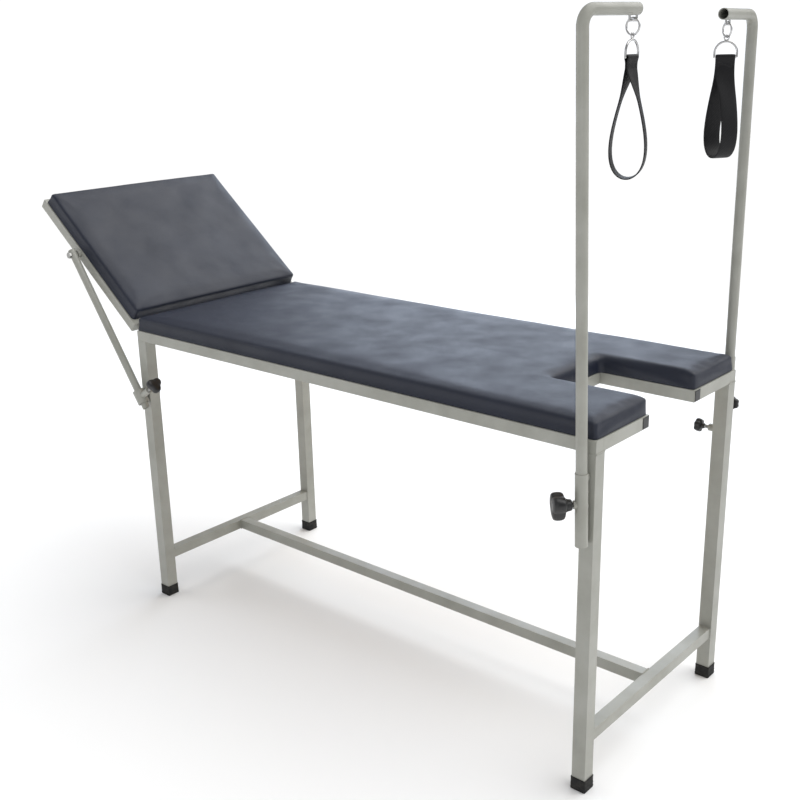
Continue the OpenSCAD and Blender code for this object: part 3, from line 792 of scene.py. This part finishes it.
def threaded_rod(name, node, body, joint):
    """Clamping screw with a real helical thread, inside the CAD screw's outline."""
    place, length, radius = shaft_space(node, joint)
    steps = int(length / THREAD_PITCH * STEPS_PER_PITCH)
    rings = []
    for i in range(steps + 1):
        z = length * i / steps
        ring = []
        for j, (c, s) in enumerate(units(THREAD_SIDES)):
            phase = (z / THREAD_PITCH - j / THREAD_SIDES) % 1
            cut = THREAD_DEPTH * abs(2 * phase - 1) * min(1.0, z / THREAD_PITCH)
            ring.append(((radius - cut) * c, (radius - cut) * s, z))
        rings.append(ring)
    points, faces = skin_rings(rings)
    mesh = mesh_from(name, [place @ Vector(p) for p in points], faces)
    return new_object(name, mesh, "plain_steel", body, [node])


LEGS = ("leg_head_near", "leg_head_far", "leg_foot_near", "leg_foot_far")
FERRULE_PROFILE = (  # height and half width, in mm
    (0.0, 14.2),
    (0.0, 16.2),
    (1.2, 17.2),
    (6.0, 17.3),
    (7.0, 16.7),
    (9.0, 16.7),
    (10.0, 17.1),
    (12.0, 17.1),
    (13.0, 16.7),
    (24.5, 16.6),
    (26.0, 17.0),
    (27.4, 16.9),
    (28.0, 16.1),
    (28.0, 15.25),
    (22.0, 15.1),
)


def ferrules():
    """Rubber feet: a wide base, a waist with a grip rib and a rolled lip round the tube."""
    points, faces = [], []
    for leg in LEGS:
        low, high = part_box(leg)
        x, y = (low.x + high.x) / 2, (low.y + high.y) / 2
        rings = [
            [(x + u, y + v, z * MM) for u, v in outline_square(half * MM, min(3.2, half / 5) * MM)]
            for z, half in FERRULE_PROFILE
        ]
        more_points, more_faces = skin_rings(rings, closed_ends=False)
        base = len(points)
        points += more_points
        points.append((x, y, 0.0))
        count = len(rings[0])
        more_faces += [(len(more_points), (j + 1) % count, j) for j in range(count)]
        faces += [tuple(base + i for i in face) for face in more_faces]
    mesh = mesh_from("ferrules", points, faces)
    piece = new_object("ferrules", mesh, "rubber", "frame", ["foot_caps"])
    refine(piece)
    return piece


# ---- weld beads ----------------------------------------------------------------------------------


BEAD_RADIUS = 1.9 * MM
BEAD_PITCH = 0.85  # of a radius
BEAD_END = 2 * MM
SOCKET_WELD_HALF_SIZE = (6.5 * MM, 3.2 * MM, 6.5 * MM)


def bead_run(points, faces, start, end, seed):
    """Adds overlapping round drops of uneven size along a line."""
    a, b = Vector(start), Vector(end)
    pitch = BEAD_RADIUS * BEAD_PITCH
    count = max(2, int((b - a).length / pitch))
    for i in range(count + 1):
        wobble = noise.noise(Vector((seed * 3.1, i * 0.7, 1.3)))
        centre = a.lerp(b, i / count)
        size = BEAD_RADIUS * (1 + 0.25 * wobble)
        base = len(points)
        rings, sides = 5, 8
        for ring in range(1, rings):
            lat = math.pi * ring / rings
            for c, s in units(sides):
                way = Vector((math.sin(lat) * c, math.sin(lat) * s, math.cos(lat)))
                points.append(centre + way * size)
        top, bottom = len(points), len(points) + 1
        points.append(centre + Vector((0, 0, size)))
        points.append(centre - Vector((0, 0, size)))
        for ring in range(rings - 2):
            for j in range(sides):
                k = (j + 1) % sides
                p = base + ring * sides
                faces.append((p + j, p + sides + j, p + sides + k, p + k))
        for j in range(sides):
            k = (j + 1) % sides
            faces.append((top, base + j, base + k))
            last = base + (rings - 2) * sides
            faces.append((bottom, last + k, last + j))


def frame_beads():
    """Welds where rails meet legs and where stretchers meet each other."""
    points, faces = [], []
    seed = 0
    for leg in LEGS:
        low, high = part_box(leg)
        side = -1 if low.y < 0 else 1
        inner = high.y if side < 0 else low.y
        for x in (low.x, high.x):
            seed += 1
            start, end = (x, low.y + BEAD_END, high.z), (x, high.y - BEAD_END, high.z)
            bead_run(points, faces, start, end, seed)
        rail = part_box("stretcher_head" if low.x < 0 else "stretcher_foot")
        seed += 1
        for z in (rail[0].z, rail[1].z):
            bead_run(points, faces, (rail[0].x, inner, z), (rail[1].x, inner, z), seed)
        for x in (rail[0].x, rail[1].x):
            bead_run(points, faces, (x, inner, rail[0].z), (x, inner, rail[1].z), seed)
    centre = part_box("stretcher_centre")
    for x in (centre[0].x, centre[1].x):
        seed += 1
        for z in (centre[0].z, centre[1].z):
            bead_run(points, faces, (x, centre[0].y, z), (x, centre[1].y, z), seed)
        for y in (centre[0].y, centre[1].y):
            bead_run(points, faces, (x, y, centre[0].z), (x, y, centre[1].z), seed)
    return new_object("frame_beads", mesh_from("frame_beads", points, faces), "enamel", "frame")


def blob(points, faces, centre, size, seed):
    """Adds one lumpy weld of the given half sizes."""
    ball = bmesh.new()
    bmesh.ops.create_icosphere(ball, subdivisions=3, radius=1.0)
    base = len(points)
    for v in ball.verts:
        lump = 1 + 0.22 * noise.noise(v.co * 2.3 + Vector((seed, 0, 0)))
        reach = Vector((v.co.x * size[0], v.co.y * size[1], v.co.z * size[2]))
        points.append(Vector(centre) + reach * lump)
    ball.verts.index_update()
    faces.extend(tuple(base + v.index for v in f.verts) for f in ball.faces)
    ball.free()


def socket_welds():
    """Lumpy welds between each pole socket and its leg, in place of the CAD's plain blocks."""
    points, faces = [], []
    seed = 0
    corners = np.array([v.co for v in nodes["socket_welds"].data.vertices])
    for side in (-1, 1):
        mine = corners[corners[:, 1] * side > 0]
        heights = sorted(set(np.round(mine[:, 2], 4)))
        for low, high in zip(heights[::2], heights[1::2]):
            seed += 1
            middle_x = (mine[:, 0].min() + mine[:, 0].max()) / 2
            centre = (middle_x, mine[:, 1].mean(), (low + high) / 2)
            blob(points, faces, centre, SOCKET_WELD_HALF_SIZE, seed)
    mesh = mesh_from("socket_weld_beads", points, faces)
    return new_object("socket_weld_beads", mesh, "enamel", "frame", ["socket_welds"])


# ---- slings --------------------------------------------------------------------------------------

STRAP_WIDTH = 36 * MM
STRAP_THICK = 2.5 * MM
SLING_DROPS = {"near": 199 * MM, "far": 186 * MM}
SLING_OPEN = 62 * MM
EYE_SPACE = 2.3 * MM
STRAP_LAYERS = 7  # points across each face of the strap
NECK_END = 12 * MM
TWIST_SPAN = (12 * MM, 75 * MM)
LOOP_WIDEST = (1 + math.sqrt(41)) / 10


def drop_half(s):
    """Half width, unscaled, of a teardrop at a share s of its height below the top."""
    return s * (1 + s) * math.sqrt(1 - s)


def strap_route(drop):
    """Right half of the strap's middle line in its own plane, from the D-ring down to the bottom."""
    around = EYE_SPACE + STRAP_THICK / 2
    together = STRAP_THICK / 2 + 0.15 * MM
    arc = np.linspace(0, math.radians(100), 9)
    points = [(around * math.sin(a), around * math.cos(a)) for a in arc]
    points.append((together + 0.6 * MM, -6 * MM))
    points.append((together, -9 * MM))
    widest = (SLING_OPEN - STRAP_THICK) / 2
    height = drop - STRAP_THICK / 2 - NECK_END
    for t in np.linspace(0, math.pi, 44)[1:-1]:
        share = (1 - math.cos(t)) / 2
        width = max(together, widest * drop_half(share) / drop_half(LOOP_WIDEST))
        points.append((width, -NECK_END - height * share))
    points.append((0.0, STRAP_THICK / 2 - drop))
    return points


def smoothstep(x, start, end):
    t = min(1.0, max(0.0, (x - start) / (end - start)))
    return t * t * (3 - 2 * t)


def sling(side, dring_turn, loop_turn, body):
    """A loop of webbing: eye over the D-ring, stitched neck, open loop that twists as it hangs."""
    name = f"sling_{side}"
    joint = joints[f"{side}_sling_swing"]
    top = Vector(joint["pos_m"])
    half = strap_route(SLING_DROPS[side])
    route = half + [(-u, z) for u, z in reversed(half[1:-1])]
    count = len(route)
    rows = []
    lengths = [0.0]
    for i, (u, z) in enumerate(route):
        after, before = route[(i + 1) % count], route[i - 1]
        tangent = Vector((after[0] - before[0], after[1] - before[1])).normalized()
        normal = Vector((-tangent.y, tangent.x))
        turn = dring_turn + (loop_turn - dring_turn) * smoothstep(-z, *TWIST_SPAN)
        spin = Matrix.Rotation(math.radians(turn), 3, "Z")
        row = []
        for face in (1, -1):
            for j in range(STRAP_LAYERS):
                across = (j / (STRAP_LAYERS - 1) - 0.5) * face
                edge = 1 - 0.25 * (2 * abs(across)) ** 8
                offset = normal * (STRAP_THICK / 2 * face * edge)
                place = Vector((u + offset.x, across * STRAP_WIDTH, z + offset.y))
                row.append(top + spin @ place)
        rows.append(row)
        lengths.append(lengths[-1] + math.dist((u, z), after))
    ring = 2 * STRAP_LAYERS
    points = [p for row in rows for p in row]
    faces = []
    for i in range(count):
        faces += band(i * ring, (i + 1) % count * ring, ring)
    mesh = mesh_from(name + "_webbing", points, faces)
    uv = mesh.uv_layers.new(name="strap")
    for polygon in mesh.polygons:
        i, j = divmod(polygon.index, ring)
        corners = ((i, j), (i, j + 1), (i + 1, j + 1), (i + 1, j))
        for loop, (row, column) in zip(polygon.loop_indices, corners):
            uv.data[loop].uv = (lengths[row], column / (STRAP_LAYERS - 1) * STRAP_WIDTH)
    piece = new_object(name + "_webbing", mesh, "strap", body, [name])
    fix_normals(piece)
    refine(piece)
    stitches = stitch_rows(name, top, dring_turn, body)
    return piece


def fix_normals(piece):
    """Turns every face of the piece outward."""
    body = bmesh.new()
    body.from_mesh(piece.data)
    bmesh.ops.recalc_face_normals(body, faces=body.faces)
    body.to_mesh(piece.data)
    body.free()


def stitch_rows(name, top, turn, body):
    """Thread stitches on both faces of the doubled neck: a box with one diagonal."""
    points, faces = [], []
    spin = Matrix.Rotation(math.radians(turn), 3, "Z")
    radius, length, pitch = 0.35 * MM, 2.2 * MM, 3.0 * MM
    high, low, wide = -9.5 * MM, -19 * MM, 11.5 * MM
    runs = [((-wide, high), (wide, high)), ((-wide, low), (wide, low))]
    runs += [((-wide, high), (-wide, low)), ((wide, high), (wide, low)), ((-wide, high), (wide, low))]
    for face in (-1, 1):
        depth = face * (STRAP_THICK + 0.3 * MM)
        for start, end in runs:
            a, b = Vector(start), Vector(end)
            count = int((b - a).length / pitch)
            for i in range(count):
                middle = a.lerp(b, (i + 0.5) / count)
                way = (b - a).normalized() * length / 2
                ends = [top + spin @ Vector((depth, *(middle + way * k))) for k in (-1, -0.5, 0.5, 1)]
                across = spin @ Vector((face, 0, 0))
                capsule(points, faces, ends, across, radius)
    mesh = mesh_from(name + "_stitches", points, faces)
    piece = new_object(name + "_stitches", mesh, "strap", body)
    piece.data.materials[0] = THREAD
    return piece


def capsule(points, faces, line, out, radius):
    """Adds a short thread along four points, sunk at its ends."""
    way = (line[-1] - line[0]).normalized()
    side = way.cross(out)
    rings = []
    for p, size, sink in zip(line, (0.35, 1, 1, 0.35), (0.9, 0, 0, 0.9)):
        centre = p - out * radius * sink
        rings.append([centre + (side * c + out * s) * radius * size for c, s in units(6)])
    more_points, more_faces = skin_rings(rings)
    base = len(points)
    points += more_points
    faces += [tuple(base + i for i in face) for face in more_faces]


# ---- build ---------------------------------------------------------------------------------------

make_camera()
make_lights()
make_floor()
dress_cad_nodes()
seat_cushion()
back_cushion()
for stem, holder, lobe_count, lobe_depth in KNOBS:
    knob(f"{stem}_knob_moulded", f"{stem}_knob", holder, f"{stem}_knob_turn", lobe_count, lobe_depth)
for stem, holder, *_ in KNOBS:
    threaded_rod(f"{stem}_screw_threaded", f"{stem}_screw", holder, f"{stem}_knob_turn")
ferrules()
frame_beads()
socket_welds()
sling("near", 0, 22, "near_sling")
sling("far", -58, -32, "far_sling")
